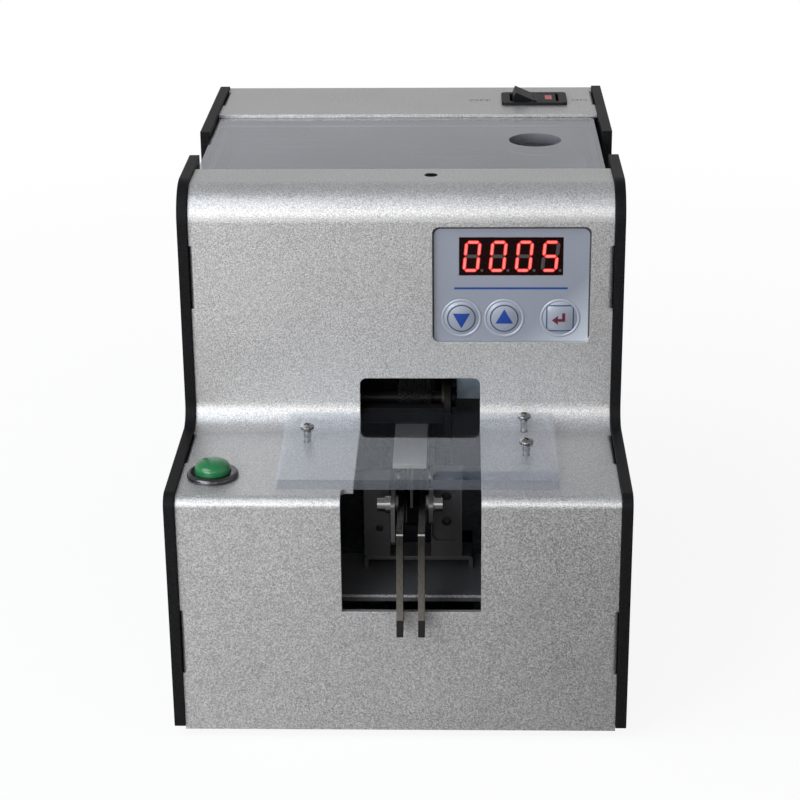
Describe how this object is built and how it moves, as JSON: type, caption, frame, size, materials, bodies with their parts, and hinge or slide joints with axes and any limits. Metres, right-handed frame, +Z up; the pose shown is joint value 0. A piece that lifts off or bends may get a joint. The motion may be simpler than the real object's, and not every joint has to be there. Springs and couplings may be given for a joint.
{
  "type": "screw counting machine",
  "caption": "Bench screw counting machine: hopper, scoop wheel and vibrating rail hand out screws one by one between two horns, with a digital counter.",
  "frame": {"origin": "middle of the footprint, on the surface under the feet", "axes": "+X to the operator's right, +Y from the front to the back, +Z up"},
  "size_m": [0.13, 0.1942, 0.1518],
  "materials": {
    "black_paint": "black powder coat",
    "cover_silver": "bead blasted, silver anodised",
    "zinc_sheet": "zinc plated",
    "foot_rubber": "matte",
    "bright_screw": "bright nickel",
    "black_screw": "black oxide",
    "deck_black": "black gloss, bare front edge",
    "clear_acrylic": "clear, polished",
    "lid_acrylic": "smoky clear, polished",
    "overlay_film": "silver printed film",
    "key_film": "domed silver",
    "display_black": "black face, red digits",
    "board_green": "solder resist",
    "black_plastic": "moulded",
    "button_green": "polished",
    "button_nickel": "satin nickel",
    "rocker_black": "moulded",
    "hopper_steel": "bare sheet",
    "gear_nylon": "natural nylon",
    "wheel_plastic": "moulded grey",
    "bush_brass": "turned",
    "shaft_steel": "ground",
    "rail_steel": "ground and polished",
    "spring_steel": "blued",
    "coil_tape": "wound and taped",
    "brush_nylon": "bristles",
    "strip_silver": "satin"
  },
  "bodies": {
    "machine": {"base_plate": "zinc_sheet", "rubber_feet": "foot_rubber", "foot_screws": "bright_screw", "left_side_panel": "black_paint", "right_side_panel": "black_paint", "panel_screws_left": "black_screw", "panel_screws_right": "black_screw", "front_cover": "cover_silver", "rear_cover": "cover_silver", "shelf_plate": "clear_acrylic", "plate_screws": "bright_screw", "cover_screw": "black_screw", "counter_bracket": "zinc_sheet", "counter_housing": "black_plastic", "counter_overlay": "overlay_film", "display_module": "display_black", "counter_board": "board_green", "start_button_body": "button_nickel", "start_button_nut": "button_nickel", "switch_housing": "black_plastic", "hopper": "hopper_steel", "gate_plate": "black_paint", "wheel_bushes": "bush_brass", "left_bearing_plate": "black_paint", "right_bearing_plate": "black_paint", "motor_plate": "zinc_sheet", "gear_motor": "zinc_sheet", "brush_bushes": "bush_brass", "leaf_springs": "spring_steel", "vibrator_base": "black_paint", "vibrator_mounts": "foot_rubber", "magnet_coil": "coil_tape", "sensor_deck": "deck_black", "sensor_bracket": "black_paint", "count_sensors": "black_plastic", "strip_bar": "black_paint", "hold_down_strip": "strip_silver", "control_board": "board_green", "power_socket": "black_plastic"},
    "lid": {"lid": "lid_acrylic"},
    "rocker": {"switch_rocker": "rocker_black"},
    "start_button": {"start_button_cap": "button_green"},
    "down_key": {"down_key": "key_film"},
    "up_key": {"up_key": "key_film"},
    "set_key": {"set_key": "key_film"},
    "rail": {"left_rail": "rail_steel", "right_rail": "rail_steel", "rail_tips": "black_plastic", "clamp_cheeks": "strip_silver", "rail_screws": "bright_screw", "rail_carrier": "black_paint", "magnet_armature": "shaft_steel"},
    "wheel": {"scoop_wheel": "wheel_plastic", "wheel_shaft": "shaft_steel", "wheel_gear": "gear_nylon"},
    "brush": {"brush_roll": "brush_nylon", "brush_shaft": "black_screw", "brush_gear": "gear_nylon"},
    "pinion": {"motor_shaft": "shaft_steel", "motor_pinion": "bush_brass"}
  },
  "joints": [
    {"name": "lid_lift", "type": "slide", "parent": "machine", "child": "lid", "axis": [0, 0, 1], "range_m": [0, 0.04]},
    {"name": "power_switch", "type": "hinge", "parent": "machine", "child": "rocker", "pos_m": [0.0419, 0.07475, 0.1482], "axis": [0, -1, 0], "range_deg": [0, 24]},
    {"name": "start_press", "type": "slide", "parent": "machine", "child": "start_button", "axis": [0, 0, -1], "range_m": [0, 0.0025], "stiffness_N_per_m": 500},
    {"name": "down_key_press", "type": "slide", "parent": "machine", "child": "down_key", "axis": [0, 1, 0], "range_m": [0, 0.0004], "stiffness_N_per_m": 2000},
    {"name": "up_key_press", "type": "slide", "parent": "machine", "child": "up_key", "axis": [0, 1, 0], "range_m": [0, 0.0004], "stiffness_N_per_m": 2000},
    {"name": "set_key_press", "type": "slide", "parent": "machine", "child": "set_key", "axis": [0, 1, 0], "range_m": [0, 0.0004], "stiffness_N_per_m": 2000},
    {"name": "rail_vibration", "type": "slide", "parent": "machine", "child": "rail", "axis": [0, 1, 0], "range_m": [-0.0004, 0.0004], "stiffness_N_per_m": 9000, "deforming": ["leaf_springs"]},
    {"name": "wheel_spin", "type": "hinge", "parent": "machine", "child": "wheel", "pos_m": [-0.01, 0.0227, 0.078], "axis": [1, 0, 0], "continuous": true},
    {"name": "brush_spin", "type": "hinge", "parent": "machine", "child": "brush", "pos_m": [0.0035, -0.0193, 0.078], "axis": [1, 0, 0], "continuous": true},
    {"name": "pinion_spin", "type": "hinge", "parent": "machine", "child": "pinion", "pos_m": [-0.03, 0.0427, 0.04336], "axis": [1, 0, 0], "continuous": true}
  ],
  "couplings": [
    {"joint": "brush_spin", "follows": "wheel_spin", "ratio": -2.5},
    {"joint": "pinion_spin", "follows": "wheel_spin", "ratio": -3}
  ]
}
